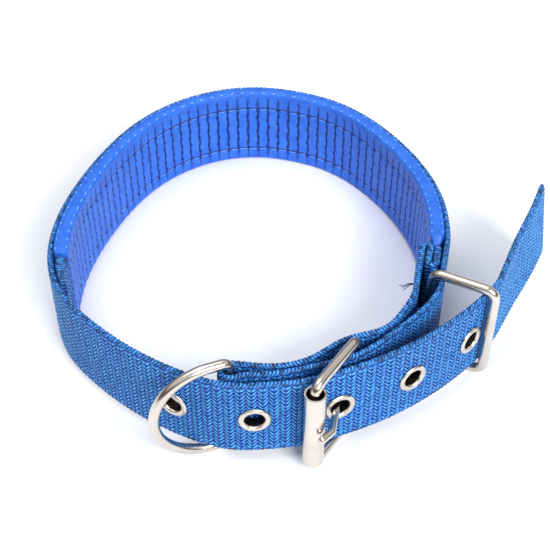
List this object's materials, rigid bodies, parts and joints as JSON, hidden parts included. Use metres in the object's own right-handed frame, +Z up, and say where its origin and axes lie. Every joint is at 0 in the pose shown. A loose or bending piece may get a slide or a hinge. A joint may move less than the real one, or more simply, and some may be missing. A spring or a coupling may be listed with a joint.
{
  "type": "dog collar",
  "caption": "Padded webbing dog collar, buckled and standing on edge, with a roller buckle, D-ring, wire keeper and eyelets.",
  "frame": {"origin": "centre of the collar's bounding box on the surface it stands on", "axes": "+X from the D-ring side towards the free tail, +Y from the buckle to the back of the neck, +Z up along the webbing's width"},
  "size_m": [0.1412, 0.14, 0.0317],
  "materials": {
    "webbing": "woven nylon",
    "leatherette": "satin",
    "foam": "matte",
    "thread": "satin",
    "nickel_steel": "polished"
  },
  "bodies": {
    "collar": {"webbing_strap": "webbing", "inner_layer_end": "webbing", "pad_cover": "leatherette", "pad_foam": "foam", "pad_seam_top_outer": "thread", "pad_seam_top_inner": "thread", "pad_seam_upper": "thread", "pad_seam_lower": "thread", "bartack_d_ring": "thread", "bartack_buckle": "thread", "bartack_keeper": "thread", "eyelet_1": "nickel_steel", "eyelet_2": "nickel_steel", "eyelet_3": "nickel_steel", "eyelet_4": "nickel_steel", "eyelet_5": "nickel_steel", "eyelet_washer_1": "nickel_steel", "eyelet_washer_2": "nickel_steel", "eyelet_washer_3": "nickel_steel", "eyelet_washer_4": "nickel_steel", "eyelet_washer_5": "nickel_steel"},
    "tail": {"tail_end": "webbing"},
    "buckle_frame": {"buckle_frame": "nickel_steel"},
    "roller": {"buckle_roller": "nickel_steel"},
    "prong": {"buckle_prong": "nickel_steel"},
    "d_ring": {"d_ring": "nickel_steel"},
    "keeper": {"keeper_loop": "nickel_steel"}
  },
  "joints": [
    {"name": "buckle_pivot", "type": "hinge", "parent": "collar", "child": "buckle_frame", "pos_m": [0.01138, -0.04928, 0.01585], "axis": [0, 0, 1], "range_deg": [0, 2]},
    {"name": "prong_pivot", "type": "hinge", "parent": "buckle_frame", "child": "prong", "pos_m": [0.01138, -0.04928, 0.01585], "axis": [0, 0, 1], "range_deg": [-1, 1]},
    {"name": "roller_spin", "type": "hinge", "parent": "buckle_frame", "child": "roller", "pos_m": [0.00068, -0.06508, 0.01585], "axis": [0, 0, 1], "continuous": true},
    {"name": "d_ring_swivel", "type": "hinge", "parent": "collar", "child": "d_ring", "pos_m": [-0.01982, -0.05718, 0.01585], "axis": [0, 0, 1], "range_deg": [0, 105]},
    {"name": "keeper_swing", "type": "hinge", "parent": "collar", "child": "keeper", "pos_m": [0.03238, -0.02548, 0.01585], "axis": [0, 0, 1], "range_deg": [-8, 2]},
    {"name": "tail_flex", "type": "hinge", "parent": "collar", "child": "tail", "pos_m": [0.05018, -0.02538, 0.01585], "axis": [0, 0, 1], "range_deg": [-15, 15], "stiffness_Nm_per_rad": 0.002}
  ]
}
